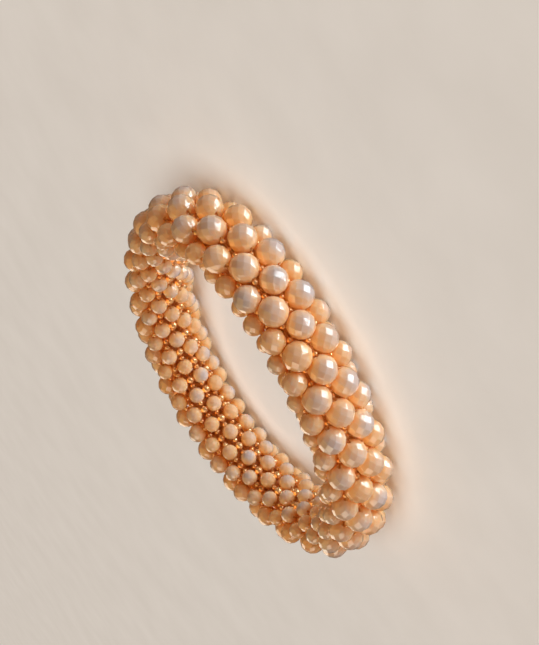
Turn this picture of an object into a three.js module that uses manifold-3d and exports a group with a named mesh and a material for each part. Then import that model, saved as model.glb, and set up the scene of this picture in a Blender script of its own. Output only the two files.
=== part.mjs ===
// A faceted bead bracelet: a slip-on rope of glass beads, worked as a tube and bent into an egg-shaped
// loop. Every ring of the tube holds six beads, and each ring sits in the hollows of the one before it,
// so the beads pack like a honeycomb. They are large on the outer face of the rope and small on the
// face that lies against the wrist. The bracelet lies on its side on the plane z = 0.
//
// Units are millimetres, +Z is up. The origin is under the middle of the bracelet, on the plane it lies on.
import * as THREE from 'three';
import Module from 'manifold-3d';

// The beads, across their widest part.
const LARGE_BEAD = 5.0;
const SMALL_BEAD = 3.2;
// Turn round the rope, from its outer face, up to which beads are large and past which they are small.
const LARGE_UP_TO = THREE.MathUtils.degToRad(35);
const SMALL_PAST = THREE.MathUtils.degToRad(100);
// Neighbouring beads touch. Their solids are this much smaller, which leaves the gap between them.
const SOLID_SHARE = 0.96;

// The line on which the rings are evenly spaced: an ellipse, drawn in towards its nose at +X.
const LOOP_HALF_LENGTH = 32.5;
const LOOP_HALF_WIDTH = 26.5;
const LOOP_EGG = 0.12;

// The rope's section: an ellipse of bead centres, whose middle lies outside the evenly spaced line.
const ROPE_HALF_DEPTH = 3.9;
const ROPE_HALF_WIDTH = 5.4;
const ROPE_OUTSET = 2.0;
// How far the beads on the two sides of the rope have slipped towards the wrist.
const SIDE_SLIP = THREE.MathUtils.degToRad(5);

// The honeycomb. Its rows wind back by a third of a turn in one loop, so that they close on themselves.
const RINGS = 50;
const BEADS_PER_RING = 6;
const BEAD_STEP = (2 * Math.PI) / BEADS_PER_RING;
const FIRST_RING_TURN = THREE.MathUtils.degToRad(-16);
const RING_TWIST = THREE.MathUtils.degToRad(-120) / RINGS;

// Rings whose beads are joined along their thread as one stretch. In all but the last ring of
// a stretch, the bead on the rope's crest is a separate solid.
const RINGS_PER_STRETCH = 5;

// Cut of the beads: the turns of their corners round the thread, from the way out of the rope, and
// the rings of corners from one hole to the other, as shares of the bead's radius. A joined bead has
// six sides less the corner that would face into the rope.
const CREST_BEAD_CUT = {
  turns: [22.5, 67.5, 112.5, 157.5, 202.5, 247.5, 292.5, 337.5],
  rings: [
    { along: -0.88, radius: 0.45 },
    { along: -0.42, radius: 0.95 },
    { along: 0.42, radius: 0.95 },
    { along: 0.88, radius: 0.45 },
  ],
};
const JOINED_BEAD_CUT = {
  turns: [0, 60, 120, 240, 300],
  rings: [
    { along: -0.42, radius: 0.93 },
    { along: 0.42, radius: 0.93 },
  ],
};
// Radius of the waist where one bead meets the next one on its thread.
const THREAD_WAIST = 0.55;
// The thread's step from one ring to the next.
const RING_STEP = { turns: [0, 120, 240], radius: 0.45 };

const UP = new THREE.Vector3(0, 0, 1);
const FACETED_GLASS = { color: 0xe9b68b, roughness: 0.22, metalness: 0.0, flatShading: true };

const wasm = await Module();
wasm.setup();

// The evenly spaced line of the loop.
class Loop extends THREE.Curve {
  getPoint(t) {
    const turn = 2 * Math.PI * t;
    const x = LOOP_HALF_LENGTH * Math.cos(turn);
    const y = LOOP_HALF_WIDTH * Math.sin(turn) * (1 - LOOP_EGG * Math.cos(turn));
    return new THREE.Vector3(x, y, 0);
  }
}

const loop = new Loop();
loop.arcLengthDivisions = 1440;

function beadRadius(turn) {
  const reach = Math.cos(LARGE_UP_TO) - Math.cos(SMALL_PAST);
  const share = THREE.MathUtils.clamp((Math.cos(turn) - Math.cos(SMALL_PAST)) / reach, 0, 1);
  return THREE.MathUtils.lerp(SMALL_BEAD, LARGE_BEAD, share) / 2;
}

// A bead at a turn round the rope in one of its rings: its centre, its radius, the way out of the rope
// and the way along the thread, which runs round the rope.
function bead(ring, turn) {
  const place = ring / RINGS;
  const along = loop.getTangentAt(place);
  const outward = new THREE.Vector3().crossVectors(along, UP);
  const angle = turn + SIDE_SLIP * Math.sin(turn);
  const depth = ROPE_OUTSET + ROPE_HALF_DEPTH * Math.cos(angle);
  const centre = loop.getPointAt(place)
    .addScaledVector(outward, depth)
    .addScaledVector(UP, ROPE_HALF_WIDTH * Math.sin(angle));
  const out = outward.clone().multiplyScalar(Math.cos(turn)).addScaledVector(UP, Math.sin(turn));
  const axis = outward.clone().multiplyScalar(-Math.sin(turn)).addScaledVector(UP, Math.cos(turn));
  return { centre, out, axis, radius: SOLID_SHARE * beadRadius(turn) };
}

// The turn of the bead on the rope's crest: the one of its ring that is nearest to the outer face.
function crestTurn(ring) {
  const turn = FIRST_RING_TURN + RING_TWIST * ring + (ring % 2) * BEAD_STEP / 2;
  return turn - BEAD_STEP * Math.round(turn / BEAD_STEP);
}

// A ring of corners round an axis, at the given turns from the way out.
function corners({ centre, axis, out }, radius, turns) {
  const u = out.clone().projectOnPlane(axis).normalize();
  const v = new THREE.Vector3().crossVectors(axis, u);
  return turns.map((degrees) => {
    const turn = THREE.MathUtils.degToRad(degrees);
    return centre.clone()
      .addScaledVector(u, radius * Math.cos(turn))
      .addScaledVector(v, radius * Math.sin(turn));
  });
}

// The rings of corners of one bead, from one end of its axis to the other.
function beadCorners({ centre, axis, out, radius }, cut) {
  return cut.rings.map((ring) => {
    const middle = centre.clone().addScaledVector(axis, radius * ring.along);
    return corners({ centre: middle, axis, out }, radius * ring.radius, cut.turns);
  });
}

// A closed skin through rings of corners, flat at both ends.
function skin(rings) {
  const sides = rings[0].length;
  const triangles = [];
  for (let band = 0; band + 1 < rings.length; band += 1) {
    for (let side = 0; side < sides; side += 1) {
      const a = band * sides + side;
      const b = band * sides + ((side + 1) % sides);
      triangles.push([a, b, b + sides], [a, b + sides, a + sides]);
    }
  }
  const end = (rings.length - 1) * sides;
  for (let side = 1; side + 1 < sides; side += 1) {
    triangles.push([0, side + 1, side], [end, end + side, end + side + 1]);
  }
  return { points: rings.flat(), triangles };
}

function geometryFrom(points, triangles) {
  const geometry = new THREE.BufferGeometry();
  geometry.setAttribute('position', new THREE.Float32BufferAttribute(points, 3));
  geometry.setIndex(triangles);
  return geometry;
}

function solidFrom({ points, triangles }) {
  const numbers = points.flatMap((point) => point.toArray());
  const mesh = { numProp: 3, vertProperties: new Float32Array(numbers), triVerts: new Uint32Array(triangles.flat()) };
  return new wasm.Manifold(new wasm.Mesh(mesh));
}

// Beads in a row on one thread. Each bead's axis runs from the waist before it to the waist after it.
function threadedBeads(beads) {
  const waists = beads.slice(1).map((next, index) => {
    const bead = beads[index];
    const share = bead.radius / (bead.radius + next.radius);
    return {
      centre: bead.centre.clone().lerp(next.centre, share),
      axis: next.centre.clone().sub(bead.centre).normalize(),
      out: bead.out.clone().add(next.out).normalize(),
    };
  });
  const first = beads[0];
  const last = beads[beads.length - 1];
  const tails = [first, last].map(({ centre, axis, out, radius }, index) => {
    const reach = index === 0 ? -radius : radius;
    return { centre: centre.clone().addScaledVector(axis, reach), axis, out };
  });
  const knots = [tails[0], ...waists, tails[1]];
  const { turns } = JOINED_BEAD_CUT;
  const rings = [corners(knots[0], THREAD_WAIST, turns)];
  beads.forEach((bead, index) => {
    const [before, after] = knots.slice(index, index + 2);
    const axis = after.centre.clone().sub(before.centre).normalize();
    rings.push(...beadCorners({ ...bead, axis }, JOINED_BEAD_CUT));
    rings.push(corners(after, THREAD_WAIST, turns));
  });
  return solidFrom(skin(rings));
}

// The thread's step from a bead of one ring to a bead of the next.
function ringStep(from, to) {
  const axis = to.centre.clone().sub(from.centre).normalize();
  const ends = [from, to].map(({ centre }) => {
    return corners({ centre, axis, out: from.out }, RING_STEP.radius, RING_STEP.turns);
  });
  return solidFrom(skin(ends));
}

function mesh(name, geometry) {
  const piece = new THREE.Mesh(geometry, new THREE.MeshStandardMaterial(FACETED_GLASS));
  piece.name = name;
  return piece;
}

function crestBead(number, ring) {
  const { points, triangles } = skin(beadCorners(bead(ring, crestTurn(ring)), CREST_BEAD_CUT));
  const numbers = points.flatMap((point) => point.toArray());
  return mesh(`crest_bead_${String(number).padStart(2, '0')}`, geometryFrom(numbers, triangles.flat()));
}

// The other beads of a stretch of rings. The last ring of the stretch keeps its crest bead.
function beadStretch(number, rings) {
  const rows = rings.map((ring, index) => {
    const count = index === rings.length - 1 ? BEADS_PER_RING : BEADS_PER_RING - 1;
    return Array.from({ length: count }, (_, step) => bead(ring, crestTurn(ring) + BEAD_STEP * (step + 1)));
  });
  const wristSide = BEADS_PER_RING / 2 - 1;
  let solid = threadedBeads(rows[0]);
  for (let index = 1; index < rows.length; index += 1) {
    solid = solid.add(threadedBeads(rows[index]));
    solid = solid.add(ringStep(rows[index - 1][wristSide], rows[index][wristSide]));
  }
  const { vertProperties, triVerts } = solid.getMesh();
  const name = `bead_stretch_${String(number).padStart(2, '0')}`;
  return mesh(name, geometryFrom(vertProperties, Array.from(triVerts)));
}

const bracelet = new THREE.Group();
let crestBeads = 0;
for (let firstRing = 0; firstRing < RINGS; firstRing += RINGS_PER_STRETCH) {
  const rings = Array.from({ length: RINGS_PER_STRETCH }, (_, index) => firstRing + index);
  for (const ring of rings.slice(0, -1)) {
    crestBeads += 1;
    bracelet.add(crestBead(crestBeads, ring));
  }
  bracelet.add(beadStretch(firstRing / RINGS_PER_STRETCH + 1, rings));
}

// The bracelet is set down with its lowest beads on the plane z = 0 and its middle over the origin.
const extent = new THREE.Box3().setFromObject(bracelet, true);
const middle = extent.getCenter(new THREE.Vector3());
bracelet.position.set(-middle.x, -middle.y, -extent.min.z);

export default bracelet;
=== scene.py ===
"""The looks of the faceted bead bracelet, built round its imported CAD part.

Every glass bead is cut here with its facets and its drilled hole, and takes the place of the plain bead
that the CAD part has there. The seed beads in the hollows between them, and the thread, are added.
"""
import math

import bmesh
import bpy
import numpy as np
from mathutils import Matrix, Vector

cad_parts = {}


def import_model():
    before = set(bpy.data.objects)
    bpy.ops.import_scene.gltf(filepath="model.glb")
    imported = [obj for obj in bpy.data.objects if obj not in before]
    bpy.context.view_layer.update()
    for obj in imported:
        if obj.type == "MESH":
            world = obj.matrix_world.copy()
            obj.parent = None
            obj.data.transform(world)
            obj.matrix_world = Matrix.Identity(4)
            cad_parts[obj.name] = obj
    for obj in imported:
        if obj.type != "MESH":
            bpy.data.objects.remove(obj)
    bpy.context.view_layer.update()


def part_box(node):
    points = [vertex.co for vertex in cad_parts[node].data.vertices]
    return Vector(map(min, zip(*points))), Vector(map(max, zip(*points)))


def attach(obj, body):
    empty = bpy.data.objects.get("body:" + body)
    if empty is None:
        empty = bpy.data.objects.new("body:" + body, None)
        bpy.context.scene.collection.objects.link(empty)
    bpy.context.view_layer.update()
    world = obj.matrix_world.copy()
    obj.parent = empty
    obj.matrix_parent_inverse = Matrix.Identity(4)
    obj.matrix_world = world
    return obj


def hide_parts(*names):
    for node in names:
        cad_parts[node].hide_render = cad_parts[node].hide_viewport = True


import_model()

# ---------------------------------------------------------------------------------------------------
# The bracelet's driving values, in millimetres and degrees, the same as in the part's source.
# ---------------------------------------------------------------------------------------------------
MM = 0.001
LARGE_BEAD = 5.0
SMALL_BEAD = 3.2
LARGE_UP_TO = 35
SMALL_PAST = 100
LOOP_HALF_LENGTH = 32.5
LOOP_HALF_WIDTH = 26.5
LOOP_EGG = 0.12
ROPE_HALF_DEPTH = 3.9
ROPE_HALF_WIDTH = 5.4
ROPE_OUTSET = 2.0
SIDE_SLIP = 5
RINGS = 50
BEADS_PER_RING = 6
BEAD_STEP = 360 / BEADS_PER_RING
FIRST_RING_TURN = -16
RING_TWIST = -120 / RINGS
RINGS_PER_STRETCH = 5

# The cut of a bead: diamond facets in rows, whose corners lie on circles of latitude about the hole.
# The softened edges and the hole are given as shares of the bead's radius. Its rims lie at HOLE_RIM, and
# what is nearer to its axis than HOLE_WALL is the wall of the hole.
FACETS_ROUND = 10
CORNER_LATITUDES = (-78, -62, -42, -20, 0, 20, 42, 62, 78)
FACET_EDGE = 0.035
HOLE_RADIUS = 0.1
HOLE_RIM = 0.93
HOLE_WALL = 1.1 * HOLE_RADIUS
# How far the normals of a facet turn from flat towards round.
FACET_BULGE = 0.15
# A bead's size is measured across its facets. Over the corners it is wider, and no two are quite alike.
OVER_CORNERS = 1.06
SIZE_SPREAD = 0.025
# How far a bead may lean on its thread, and how near to the next bead its glass is painted with an amber
# glow and, nearest, with darker painted shade.
BEAD_TILT = 4
CONTACT_REACH = 1.2

# Seed beads sit at the ends of the holes, sunk by SEED_SINK, and as wide as the hollow there allows.
# Wider ones, the spacers, fill the gaps wider than SPACER_GAP between the beads of a ring.
SEED_BEAD = 0.7
LARGEST_SEED = 1.1
SEED_SINK = (0.3, 1.2)
SEED_SEAT = 0.6
SEED_FLATNESS = (0.8, 0.95)
SEED_SIDES = 12
SEED_BANDS = 7
SPACER_GAP = 0.7
LARGEST_SPACER = 2.1

# The thread through the rows of beads, and the braid of thicker strands that fills the rope.
THREAD = 0.3
THREAD_SIDES = 6
CORE_HALF_DEPTH = 1.3
CORE_HALF_WIDTH = 2.7
CORE_OUTSET = 1.5
CORE_STRANDS = 8
CORE_STRAND = 1.0
CORE_TURNS = 9
CORE_WEAVE = 0.25
CORE_STEPS = 440

UP = Vector((0, 0, 1))
chance = np.random.default_rng(11)


# ---------------------------------------------------------------------------------------------------
# Where the beads are.
# ---------------------------------------------------------------------------------------------------
class Loop:
    """The evenly spaced line of the loop, an ellipse drawn in towards its nose at +X."""

    def __init__(self, steps=7200):
        turn = np.linspace(0, 2 * math.pi, steps + 1)
        self.x = LOOP_HALF_LENGTH * np.cos(turn)
        self.y = LOOP_HALF_WIDTH * np.sin(turn) * (1 - LOOP_EGG * np.cos(turn))
        lengths = np.hypot(np.diff(self.x), np.diff(self.y))
        self.length = np.concatenate([[0], np.cumsum(lengths)])
        self.length /= self.length[-1]
        self.shift = Vector()

    def point(self, share):
        """The point at a share of the loop's length, without the shift to its place in the frame."""
        share %= 1
        return Vector((np.interp(share, self.length, self.x), np.interp(share, self.length, self.y), 0))

    def along(self, share, reach=0.0005):
        return (self.point(share + reach) - self.point(share - reach)).normalized()


class Bead:
    """A faceted bead in one of the rope's rings, at a turn round the rope from its outer face."""

    def __init__(self, ring, turn, loop):
        place = ring / RINGS
        outward = loop.along(place).cross(UP)
        angle = math.radians(turn)
        slipped = angle + math.radians(SIDE_SLIP) * math.sin(angle)
        depth = ROPE_OUTSET + ROPE_HALF_DEPTH * math.cos(slipped)
        self.centre = loop.point(place) + outward * depth + UP * ROPE_HALF_WIDTH * math.sin(slipped)
        self.out = outward * math.cos(angle) + UP * math.sin(angle)
        self.radius = bead_radius(turn)


def bead_radius(turn):
    """Large beads on the rope's outer face pass smoothly into small ones on its inner face."""
    most, least = math.cos(math.radians(LARGE_UP_TO)), math.cos(math.radians(SMALL_PAST))
    share = min(max((math.cos(math.radians(turn)) - least) / (most - least), 0), 1)
    return (SMALL_BEAD + (LARGE_BEAD - SMALL_BEAD) * share) / 2


def crest_turn(ring):
    """The turn of the bead that is nearest to the rope's outer face."""
    turn = FIRST_RING_TURN + RING_TWIST * ring + (ring % 2) * BEAD_STEP / 2
    return turn - BEAD_STEP * round(turn / BEAD_STEP)


def rope_of_beads(loop):
    """All the beads, ring by ring, each ring's crest bead first, moved into the frame with the loop."""
    rings = []
    for ring in range(RINGS):
        turns = [crest_turn(ring) + BEAD_STEP * step for step in range(BEADS_PER_RING)]
        rings.append([Bead(ring, turn, loop) for turn in turns])
    low, high = (Vector(corner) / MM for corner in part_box("crest_bead_01"))
    loop.shift = (low + high) / 2 - rings[0][0].centre
    for bead in (bead for ring in rings for bead in ring):
        bead.centre += loop.shift
    for ring, beads in enumerate(rings):
        for bead in beads:
            follow_row(bead, rings[ring - 2], rings[(ring + 2) % RINGS])
    return rings


def gap_between(bead, other):
    return (other.centre - bead.centre).length - bead.radius - other.radius


def nearest(beads, place):
    return min(beads, key=lambda bead: (bead.centre - place).length)


def pair_nearest(beads, place):
    return sorted(beads, key=lambda bead: (bead.centre - place).length)[:2]


def follow_row(bead, before, after):
    """Sets the next bead of a bead's row, two rings on, and the way of its hole, along the row."""
    bead.next_in_row = nearest(after, bead.centre)
    bead.axis = (bead.next_in_row.centre - nearest(before, bead.centre).centre).normalized()


# ---------------------------------------------------------------------------------------------------
# The shape of one bead, with a radius of 1 and its hole along Z.
# ---------------------------------------------------------------------------------------------------
def corner_ring(cut, reach, height, start=0):
    """A ring of corners about Z, the first one turned from X by start steps."""
    turns = [2 * math.pi * (corner + start) / FACETS_ROUND for corner in range(FACETS_ROUND)]
    return [cut.verts.new((reach * math.cos(turn), reach * math.sin(turn), height)) for turn in turns]


def corner_rows(cut):
    """The rows of corners. Every other row is turned by half a facet."""
    rows = []
    for row, latitude in enumerate(CORNER_LATITUDES):
        height, reach = math.sin(math.radians(latitude)), math.cos(math.radians(latitude))
        rows.append(corner_ring(cut, reach, height, (row % 2) / 2))
    return rows


def cut_facets(cut, rows):
    """Diamonds between each row and the two beside it, and half diamonds round the two ends."""
    for row in range(1, len(rows) - 1):
        for corner in range(FACETS_ROUND):
            across = (corner + 1) % FACETS_ROUND
            middle = corner if row % 2 == 0 else across
            below, above = rows[row - 1][middle], rows[row + 1][middle]
            cut.faces.new((below, rows[row][across], above, rows[row][corner]))
    for end, next_row, turned in ((rows[0], rows[1], True), (rows[-1], rows[-2], False)):
        for corner in range(FACETS_ROUND):
            across = (corner + 1) % FACETS_ROUND
            face = (end[corner], next_row[corner], end[across])
            cut.faces.new(face[::-1] if turned else face)


def drill(cut, rows):
    """The hole, from the ring of corners at one end to the ring at the other."""
    low, high = (corner_ring(cut, HOLE_RADIUS, height) for height in (-HOLE_RIM, HOLE_RIM))
    for near, far in ((rows[-1], high), (high, low), (low, rows[0])):
        for corner in range(FACETS_ROUND):
            across = (corner + 1) % FACETS_ROUND
            cut.faces.new((near[corner], near[across], far[across], far[corner]))


def soft_normal(vert):
    """A normal that keeps the facets nearly flat: the large faces count for most, and bulge a little."""
    flat = Vector()
    for face in vert.link_faces:
        flat += face.normal * face.calc_area() ** 2
    bulge = 0 if math.hypot(vert.co.x, vert.co.y) < HOLE_WALL else FACET_BULGE
    return flat.normalized().lerp(vert.co.normalized(), bulge).normalized()


def bead_shape():
    """The corners, faces and normals of a bead."""
    cut = bmesh.new()
    rows = corner_rows(cut)
    cut_facets(cut, rows)
    facet_edges = list(cut.edges)
    drill(cut, rows)
    bmesh.ops.bevel(
        cut, geom=facet_edges, offset=FACET_EDGE, offset_type="OFFSET", segments=2, profile=0.5,
        affect="EDGES", clamp_overlap=True,
    )
    bmesh.ops.recalc_face_normals(cut, faces=cut.faces)
    cut.normal_update()
    points = [vert.co.copy() for vert in cut.verts]
    normals = [soft_normal(vert) for vert in cut.verts]
    cut.verts.index_update()
    faces = [[vert.index for vert in face.verts] for face in cut.faces]
    cut.free()
    return np.array(points), faces, np.array(normals)


# ---------------------------------------------------------------------------------------------------
# Meshes.
# ---------------------------------------------------------------------------------------------------
class Parts:
    """Gathers closed shapes in millimetres, with the marks that their material reads at each point."""

    def __init__(self):
        self.points, self.faces, self.normals, self.marks = [], [], [], []
        self.count = 0

    def add(self, points, faces, normals, marks):
        self.faces += [[corner + self.count for corner in face] for face in faces]
        self.points.append(points)
        self.normals.append(normals)
        self.marks.append(marks)
        self.count += len(points)

    def piece(self, name, material, slot, replaced=()):
        """Joins the shapes as one mesh object in metres."""
        mesh = bpy.data.meshes.new(name)
        points = np.concatenate(self.points) * MM
        mesh.from_pydata(points.tolist(), [], self.faces)
        mesh.shade_smooth()
        mesh.normals_split_custom_set_from_vertices(np.concatenate(self.normals).tolist())
        for mark in self.marks[0]:
            values = np.concatenate([marks[mark] for marks in self.marks])
            attribute = mesh.attributes.new(mark, "FLOAT", "POINT")
            attribute.data.foreach_set("value", values.astype(np.float32))
        mesh.materials.append(material)
        piece = bpy.data.objects.new(name, mesh)
        bpy.context.scene.collection.objects.link(piece)
        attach(piece, "root")
        for node in replaced:
            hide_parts(node)


def turned_to(axis, out):
    """The turn that brings Z to the axis and X towards out."""
    side = axis.cross(out).normalized()
    return np.array(Matrix((side.cross(axis), side, axis)).transposed())


# ---------------------------------------------------------------------------------------------------
# The faceted beads.
# ---------------------------------------------------------------------------------------------------
def touch(points, neighbours):
    """How near each point is to the beads next to it: 1 where they touch, 0 past CONTACT_REACH."""
    nearness = np.zeros(len(points))
    for other in neighbours:
        gap = np.linalg.norm(points - np.array(other.centre), axis=1) - other.radius
        nearness = np.maximum(nearness, np.clip(1 - gap / CONTACT_REACH, 0, 1))
    return nearness ** 2


def add_bead(parts, bead, shape, neighbours):
    """Adds a bead, spun and tilted a little on its thread."""
    points, faces, normals = shape
    tilt = math.radians(BEAD_TILT)
    nod = Matrix.Rotation(chance.uniform(-tilt, tilt), 3, "X")
    lean = Matrix.Rotation(chance.uniform(-tilt, tilt), 3, "Y")
    spin = Matrix.Rotation(chance.uniform(0, 2 * math.pi), 3, "Z")
    turn = turned_to(bead.axis, bead.out) @ np.array(nod @ lean @ spin)
    reach = bead.radius * OVER_CORNERS * (1 + chance.uniform(-SIZE_SPREAD, SIZE_SPREAD))
    placed = points @ turn.T * reach + np.array(bead.centre)
    # These marks carry painted light: facing places the lilac sheen and the amber glow on the inner side,
    # and touch places the amber glow and the shade between beads.
    marks = {
        "tint": np.full(len(points), chance.uniform()),
        "touch": touch(placed, neighbours),
        "facing": (placed - np.array(bead.centre)) @ np.array(bead.out) / bead.radius,
    }
    parts.add(placed, faces, normals @ turn.T, marks)


def neighbours_of(bead, beads):
    """The beads that a bead touches or nearly touches."""
    return [other for other in beads if other is not bead and gap_between(bead, other) < CONTACT_REACH]


def faceted_beads(rings, material):
    """A piece for each stretch of rings, and one for each ring's crest bead but the last of a stretch."""
    shape = bead_shape()
    beads = [bead for ring in rings for bead in ring]
    crest_beads = 0
    for first in range(0, RINGS, RINGS_PER_STRETCH):
        stretch = Parts()
        for ring in rings[first:first + RINGS_PER_STRETCH]:
            joined = ring
            if ring is not rings[first + RINGS_PER_STRETCH - 1]:
                crest_beads += 1
                crest, *joined = ring
                single = Parts()
                add_bead(single, crest, shape, neighbours_of(crest, beads))
                number = f"{crest_beads:02d}"
                single.piece(f"faceted_bead_{number}", material, "bead_glass", [f"crest_bead_{number}"])
            for bead in joined:
                add_bead(stretch, bead, shape, neighbours_of(bead, beads))
        number = f"{first // RINGS_PER_STRETCH + 1:02d}"
        stretch.piece(f"faceted_stretch_{number}", material, "bead_glass", [f"bead_stretch_{number}"])


# ---------------------------------------------------------------------------------------------------
# The seed beads.
# ---------------------------------------------------------------------------------------------------
def round_shape():
    """The points and faces of a ball with a radius of 1, in bands between its two poles."""
    points = [(0, 0, 1)]
    for band in range(1, SEED_BANDS):
        slope = math.pi * band / SEED_BANDS
        height, reach = math.cos(slope), math.sin(slope)
        for side in range(SEED_SIDES):
            turn = 2 * math.pi * side / SEED_SIDES
            points.append((reach * math.cos(turn), reach * math.sin(turn), height))
    points.append((0, 0, -1))
    lowest = len(points) - 1
    faces = []
    for side in range(SEED_SIDES):
        beside = (side + 1) % SEED_SIDES
        faces.append((0, 1 + side, 1 + beside))
        for upper in range(1, lowest - SEED_SIDES, SEED_SIDES):
            lower = upper + SEED_SIDES
            faces.append((upper + side, lower + side, lower + beside, upper + beside))
        faces.append((lowest, lowest - SEED_SIDES + beside, lowest - SEED_SIDES + side))
    return np.array(points), faces


def hole_seed(bead, end, pair):
    """Centre and radius of the seed bead at an end of a bead's hole, in the hollow that a pair closes."""
    three = (bead, *pair)
    middle = sum((other.centre for other in three), Vector()) / 3
    gap = max((other.centre - middle).length - other.radius for other in three)
    radius = min(max(SEED_BEAD / 2, gap), LARGEST_SEED / 2)
    reach = bead.radius * OVER_CORNERS + radius * SEED_SEAT
    return bead.centre + bead.axis * end * reach - bead.out * chance.uniform(*SEED_SINK), radius


def seed_places(rings):
    """Centres and radii of the seed beads: at each bead's hole, and where beads of a ring stand apart."""
    places = []
    for ring, beads in enumerate(rings):
        for bead, next_bead in zip(beads, beads[1:] + beads[:1]):
            before = pair_nearest(rings[ring - 1], bead.centre)
            after = pair_nearest(rings[(ring + 1) % RINGS], bead.centre)
            bead.seeds = [hole_seed(bead, -1, before), hole_seed(bead, 1, after)]
            places += bead.seeds
            gap = gap_between(bead, next_bead)
            if gap > SPACER_GAP:
                share = (bead.radius + gap / 2) / (bead.radius + gap + next_bead.radius)
                places.append((bead.centre.lerp(next_bead.centre, share), min(gap, LARGEST_SPACER) / 2))
    return places


def seed_beads(rings, material):
    """Slightly flattened balls, each turned its own way."""
    points, faces = round_shape()
    parts = Parts()
    for centre, radius in seed_places(rings):
        squash = np.array((1, 1, chance.uniform(*SEED_FLATNESS)))
        axis = Vector(chance.normal(size=3)).normalized()
        turn = turned_to(axis, axis.orthogonal())
        placed = (points * squash) @ turn.T * radius + np.array(centre)
        normals = (points / squash) @ turn.T
        normals /= np.linalg.norm(normals, axis=1)[:, None]
        marks = {"tint": np.full(len(points), chance.uniform())}
        parts.add(placed, faces, normals, marks)
    parts.piece("seed_beads", material, "seed_bead_glass")


# ---------------------------------------------------------------------------------------------------
# The thread.
# ---------------------------------------------------------------------------------------------------
def add_tube(parts, line, radius):
    """Adds a tube along a closed line of points."""
    points, normals, faces = [], [], []
    count = len(line)
    side = (line[1] - line[0]).orthogonal().normalized()
    for index, point in enumerate(line):
        along = (line[(index + 1) % count] - line[index - 1]).normalized()
        side = (side - along * side.dot(along)).normalized()
        across = along.cross(side)
        for corner in range(THREAD_SIDES):
            turn = 2 * math.pi * corner / THREAD_SIDES
            way = side * math.cos(turn) + across * math.sin(turn)
            points.append(point + way * radius)
            normals.append(way)
    for index in range(count):
        here, there = index * THREAD_SIDES, (index + 1) % count * THREAD_SIDES
        for corner in range(THREAD_SIDES):
            across = (corner + 1) % THREAD_SIDES
            faces.append((here + corner, here + across, there + across, there + corner))
    parts.add(np.array(points), faces, np.array(normals), {})


def row_thread(first, passed):
    """The line through a row of beads and the seed beads at their holes, until it meets its start."""
    line = []
    bead = first
    while bead not in passed:
        passed.add(bead)
        hole = bead.axis * bead.radius
        line += [bead.seeds[0][0], bead.centre - hole, bead.centre + hole, bead.seeds[1][0]]
        bead = bead.next_in_row
    return line


def core_strand(loop, strand, way):
    """The line of a strand of the braid. Strands of the two ways pass over and under each other."""
    line = []
    for step in range(CORE_STEPS):
        share = step / CORE_STEPS
        wound = 2 * math.pi * CORE_TURNS * share
        turn = 2 * math.pi * strand / CORE_STRANDS + way * wound
        lift = way * CORE_WEAVE * math.cos(CORE_STRANDS * wound)
        outward = loop.along(share).cross(UP)
        depth = CORE_OUTSET + (CORE_HALF_DEPTH + lift) * math.cos(turn)
        rise = UP * (CORE_HALF_WIDTH + lift) * math.sin(turn)
        line.append(loop.point(share) + loop.shift + outward * depth + rise)
    return line


def thread(rings, loop, material):
    """The thread through the rows of beads, and the braid that fills the rope."""
    rows, core = Parts(), Parts()
    passed = set()
    for first in (bead for ring in rings for bead in ring):
        if first not in passed:
            add_tube(rows, row_thread(first, passed), THREAD / 2)
    for strand in range(CORE_STRANDS):
        for way in (-1, 1):
            add_tube(core, core_strand(loop, strand, way), CORE_STRAND / 2)
    rows.piece("row_thread", material, "thread")
    core.piece("core_thread", material, "thread")


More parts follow.
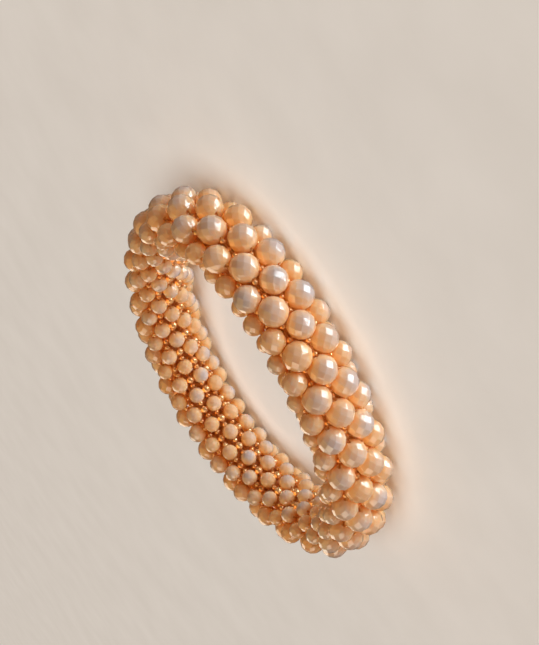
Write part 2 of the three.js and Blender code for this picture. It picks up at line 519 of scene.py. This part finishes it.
# ---------------------------------------------------------------------------------------------------
# Materials.
# ---------------------------------------------------------------------------------------------------
class Nodes:
    """A material's nodes, with its Principled shader as surface."""

    def __init__(self, name):
        self.material = bpy.data.materials.new(name)
        self.material.use_nodes = True
        self.tree = self.material.node_tree
        self.surface = self.tree.nodes["Principled BSDF"]

    def node(self, kind, **settings):
        node = self.tree.nodes.new(kind)
        for name, value in settings.items():
            setattr(node, name, value)
        return node

    def link(self, source, target):
        self.tree.links.new(source, target)

    def values(self, **sockets):
        """Sets the shader's sockets, each named with _ for its spaces."""
        for name, value in sockets.items():
            self.surface.inputs[name.replace("_", " ")].default_value = value

    def mark(self, name):
        """A mark that the mesh holds at each point."""
        return self.node("ShaderNodeAttribute", attribute_name=name).outputs["Fac"]

    def noise(self, scale, detail=3.0):
        """Noise with a scale in repeats to the metre."""
        where = self.node("ShaderNodeTexCoord").outputs["Object"]
        noise = self.node("ShaderNodeTexNoise")
        self.link(where, noise.inputs["Vector"])
        noise.inputs["Scale"].default_value = scale
        noise.inputs["Detail"].default_value = detail
        return noise.outputs["Fac"]

    def remap(self, source, span, onto=(0.0, 1.0)):
        """The source with one span of its values brought onto another. Beyond the span it stays level."""
        node = self.node("ShaderNodeMapRange")
        self.link(source, node.inputs["Value"])
        for name, value in zip(("From Min", "From Max", "To Min", "To Max"), (*span, *onto)):
            node.inputs[name].default_value = value
        return node.outputs["Result"]

    def maths(self, operation, first, second):
        node = self.node("ShaderNodeMath", operation=operation)
        self.link(first, node.inputs[0])
        self.link(second, node.inputs[1])
        return node.outputs["Value"]

    def times(self, first, second):
        return self.maths("MULTIPLY", first, second)

    def most(self, first, second):
        return self.maths("MAXIMUM", first, second)

    def mix(self, share, first, second):
        """A mix of two colours. Each is a socket or a plain colour."""
        node = self.node("ShaderNodeMix", data_type="RGBA")
        self.link(share, node.inputs["Factor"])
        for name, colour in (("A", first), ("B", second)):
            socket = next(s for s in node.inputs if s.name == name and s.type == "RGBA")
            if isinstance(colour, bpy.types.NodeSocket):
                self.link(colour, socket)
            else:
                socket.default_value = (*colour, 1)
        return next(s for s in node.outputs if s.type == "RGBA")

    def bump(self, height, depth):
        """Bump on the surface, with its depth in metres."""
        node = self.node("ShaderNodeBump")
        node.inputs["Strength"].default_value = 1.0
        node.inputs["Distance"].default_value = depth
        self.link(height, node.inputs["Height"])
        self.link(node.outputs["Normal"], self.surface.inputs["Normal"])


# The colours of the bead glass. The lilac is a painted sheen, the amber a painted glow of light through
# the glass, and the ember painted shade where beads touch.
CREAM = (0.90, 0.70, 0.54)
PEACH = (0.92, 0.56, 0.27)
HONEY = (0.96, 0.49, 0.16)
SHEEN_LILAC = (0.57, 0.54, 0.57)
GLOW_AMBER = (1.0, 0.43, 0.09)
SHADE_EMBER = (0.55, 0.17, 0.02)
LUSTRE = (1.0, 0.75, 0.52, 1)
# How far red, green and blue light spread under the glass, as shares of its Subsurface Scale.
GLASS_DEPTHS = (1.0, 0.9, 0.8)
# The colours of the seed beads and the thread, each from its darker to its lighter shade.
SEED_GOLDS = ((0.96, 0.42, 0.12), (1.0, 0.66, 0.34))
THREAD_BROWNS = ((0.35, 0.1, 0.015), (0.7, 0.25, 0.05))

# Scales of noise, in repeats to the metre, and depths of bump, in metres.
CLOUD_SCALE = 900
BEAD_GLOSS_SCALE = 2500
WAVE_SCALE = 1200
WAVE_DEPTH = 0.00002
SEED_GLOSS_SCALE = 3000
STRAND_SCALE = 9000
STRAND_DEPTH = 0.00004


def bead_glass():
    """Opal glass with a lustre, peach to cream at the sides. Lilac on the face turned out of the rope is
    a painted sheen, standing for a reflection; amber on the inner side and between beads is a painted
    glow of light through the glass; a darker ember where beads touch is painted shade.
    """
    nodes = Nodes("bead_glass")
    pale = nodes.remap(nodes.mark("tint"), (0.0, 1.0), onto=(0.2, 1.0))
    clouds = nodes.remap(nodes.noise(CLOUD_SCALE), (0.4, 0.6), onto=(0.0, 0.3))
    body = nodes.mix(clouds, nodes.mix(pale, PEACH, CREAM), HONEY)
    # Painted sheen: lilac on the face turned out of the rope, standing for a reflection.
    sheen_share = nodes.remap(nodes.mark("facing"), (0.5, 0.95))
    body = nodes.mix(nodes.times(sheen_share, pale), body, SHEEN_LILAC)
    # Painted glow: amber on the rope's inner side and near the next beads, standing for light through the
    # glass.
    inner = nodes.remap(nodes.mark("facing"), (0.2, -0.7))
    touching = nodes.remap(nodes.mark("touch"), (0.0, 0.7), onto=(0.0, 0.85))
    body = nodes.mix(nodes.most(inner, touching), body, GLOW_AMBER)
    # Painted shade: a darker ember where beads touch.
    body = nodes.mix(nodes.remap(nodes.mark("touch"), (0.6, 1.0)), body, SHADE_EMBER)
    gloss = nodes.remap(nodes.noise(BEAD_GLOSS_SCALE), (0.3, 0.7), onto=(0.12, 0.2))
    nodes.link(body, nodes.surface.inputs["Base Color"])
    nodes.link(gloss, nodes.surface.inputs["Roughness"])
    nodes.values(IOR=1.52, Transmission_Weight=0.2)
    nodes.values(Subsurface_Weight=1.0, Subsurface_Scale=0.002, Subsurface_Radius=GLASS_DEPTHS)
    nodes.values(Coat_Weight=1.0, Coat_Roughness=0.03, Coat_IOR=1.8)
    nodes.values(Sheen_Weight=0.2, Sheen_Roughness=0.35, Sheen_Tint=LUSTRE)
    nodes.bump(nodes.noise(WAVE_SCALE, detail=1.0), WAVE_DEPTH)
    return nodes.material


def seed_glass():
    """Lustred glass of a deeper gold than the beads."""
    nodes = Nodes("seed_bead_glass")
    gloss = nodes.remap(nodes.noise(SEED_GLOSS_SCALE), (0.3, 0.7), onto=(0.1, 0.2))
    nodes.link(nodes.mix(nodes.mark("tint"), *SEED_GOLDS), nodes.surface.inputs["Base Color"])
    nodes.link(gloss, nodes.surface.inputs["Roughness"])
    nodes.values(Metallic=0.6, IOR=1.6, Coat_Weight=1.0, Coat_Roughness=0.05)
    return nodes.material


def waxed_thread():
    """Thread with its strands as colour and bump, and the dull gloss of a little wax."""
    nodes = Nodes("thread")
    strands = nodes.remap(nodes.noise(STRAND_SCALE, detail=2.0), (0.35, 0.65))
    nodes.link(nodes.mix(strands, *THREAD_BROWNS), nodes.surface.inputs["Base Color"])
    nodes.values(Roughness=0.55)
    nodes.bump(strands, STRAND_DEPTH)
    return nodes.material


# ---------------------------------------------------------------------------------------------------
# The studio.
# ---------------------------------------------------------------------------------------------------
# Places and sizes are in metres here, turns in degrees, and the lens in millimetres.
CAMERA_AT = Vector((0.15623, -0.16778, 0.09076))
CAMERA_AIM = Vector((0.02052, -0.01341, 0.00740))
CAMERA_ROLL = -123.52
CAMERA_LENS = 71.1
FLOOR_SIZE = 60.0
FLOOR_COLOURS = ((0.78, 0.73, 0.66), (0.82, 0.77, 0.70))
FLOOR_GRAIN_SCALE = 60
WORLD_COLOUR = (1.0, 0.62, 0.38, 1)
WORLD_STRENGTH = 0.11

# The lights of the bracelet are squares at LIGHT_DISTANCE from its middle. Their power is in watts.
LIGHT_DISTANCE = 0.6
KEY_LIGHT = {"azimuth": -45, "elevation": -45, "size": 0.44, "power": 3.1, "colour": (0.84, 0.95, 1.0)}
SIDE_LIGHT = {"azimuth": -90, "elevation": -38, "size": 0.6, "power": 1.15, "colour": (1.0, 1.0, 1.0)}
FILL_LIGHT = {"azimuth": 90, "elevation": 86, "size": 0.84, "power": 1.55, "colour": (1.0, 0.62, 0.2)}
BACK_LIGHT = {"size": 0.4, "power": 0.9, "colour": (1.0, 0.84, 0.64)}
# The flashes of the key light reach pieces whose middle is at most this far behind the loop's middle.
FLASH_REACH = 0.009

SKY_STRENGTH = 2.5
SKY_SPREAD = 70
SKY_TURN = (25, 0, 30)


def floor():
    """A pale, faintly mottled floor, left out of reflections."""
    mesh = bpy.data.meshes.new("floor")
    half = FLOOR_SIZE / 2
    corners = [(-half, -half, 0), (half, -half, 0), (half, half, 0), (-half, half, 0)]
    mesh.from_pydata(corners, [], [(0, 1, 2, 3)])
    nodes = Nodes("floor")
    grain = nodes.remap(nodes.noise(FLOOR_GRAIN_SCALE, detail=4.0), (0.3, 0.7))
    nodes.link(nodes.mix(grain, *FLOOR_COLOURS), nodes.surface.inputs["Base Color"])
    nodes.values(Roughness=0.8)
    mesh.materials.append(nodes.material)
    plane = bpy.data.objects.new("floor", mesh)
    bpy.context.scene.collection.objects.link(plane)
    plane.visible_glossy = False
    return plane


def group(name, pieces):
    """A collection for a light's linking: the pieces that it shines on, or that throw its shadows."""
    collection = bpy.data.collections.new(name)
    for piece in pieces:
        collection.objects.link(piece)
    return collection


def soft_light(name, lit, shading, *, azimuth, elevation, size, power, colour):
    """A square light, aimed at the bracelet, that shines on one group and is blocked by another."""
    data = bpy.data.lights.new(name, "AREA")
    data.size, data.energy, data.color = size, power, colour
    light = bpy.data.objects.new(name, data)
    turn, lift = math.radians(azimuth), math.radians(elevation)
    away = Vector((math.cos(turn) * math.cos(lift), math.sin(turn) * math.cos(lift), math.sin(lift)))
    light.location = away * LIGHT_DISTANCE
    light.rotation_euler = (-away).to_track_quat("-Z", "Y").to_euler()
    light.light_linking.receiver_collection = lit
    light.light_linking.blocker_collection = shading
    bpy.context.scene.collection.objects.link(light)
    return light


def sky_light(lit):
    """The soft light from above that keeps the floor pale."""
    data = bpy.data.lights.new("sky", "SUN")
    data.energy, data.angle = SKY_STRENGTH, math.radians(SKY_SPREAD)
    light = bpy.data.objects.new("sky", data)
    light.rotation_euler = [math.radians(turn) for turn in SKY_TURN]
    light.light_linking.receiver_collection = lit
    bpy.context.scene.collection.objects.link(light)


def has_flashes(piece):
    """Whether a piece is on the camera's side of the loop, or goes all round it."""
    corners = [Vector(corner) for corner in piece.bound_box]
    middle = sum(corners, Vector()) / len(corners)
    return middle.to_2d().dot(CAMERA_AT.to_2d().normalized()) > -FLASH_REACH


def studio(ground):
    """The lights. The key and side lights are under the floor, so the bracelet's lights leave it out."""
    pieces = [item for item in bpy.context.scene.objects if item.type == "MESH" and item is not ground]
    bracelet, bare_floor = group("bracelet", pieces), group("bare_floor", [ground])
    near_side = group("near_side", [piece for piece in pieces if has_flashes(piece)])
    key = soft_light("key", bracelet, bracelet, **KEY_LIGHT)
    key.visible_glossy = False
    flash = soft_light("flash", near_side, bracelet, **KEY_LIGHT)
    flash.visible_diffuse = False
    flash.visible_transmission = False
    side = soft_light("side", bracelet, bracelet, **SIDE_LIGHT)
    side.visible_glossy = False
    # Beads don't shade each other from the fill light, which stands for light from all round.
    soft_light("fill", bracelet, bare_floor, **FILL_LIGHT)
    soft_light("behind_left", bracelet, bracelet, azimuth=150, elevation=28, **BACK_LIGHT)
    soft_light("behind_right", bracelet, bracelet, azimuth=235, elevation=40, **BACK_LIGHT)
    sky_light(bare_floor)


def world():
    background = bpy.data.worlds.new("studio")
    background.use_nodes = True
    shade = background.node_tree.nodes["Background"]
    shade.inputs["Color"].default_value = WORLD_COLOUR
    shade.inputs["Strength"].default_value = WORLD_STRENGTH
    bpy.context.scene.world = background


def camera():
    data = bpy.data.cameras.new("camera")
    data.lens = CAMERA_LENS
    eye = bpy.data.objects.new("camera", data)
    turn = (CAMERA_AIM - CAMERA_AT).to_track_quat("-Z", "Y").to_matrix()
    turn = turn @ Matrix.Rotation(math.radians(CAMERA_ROLL), 3, "Z")
    eye.matrix_world = Matrix.Translation(CAMERA_AT) @ turn.to_4x4()
    bpy.context.scene.collection.objects.link(eye)
    bpy.context.scene.camera = eye


loop = Loop()
rings = rope_of_beads(loop)
faceted_beads(rings, bead_glass())
seed_beads(rings, seed_glass())
thread(rings, loop, waxed_thread())

world()
studio(floor())
camera()
bpy.context.scene.view_settings.view_transform = "Standard"
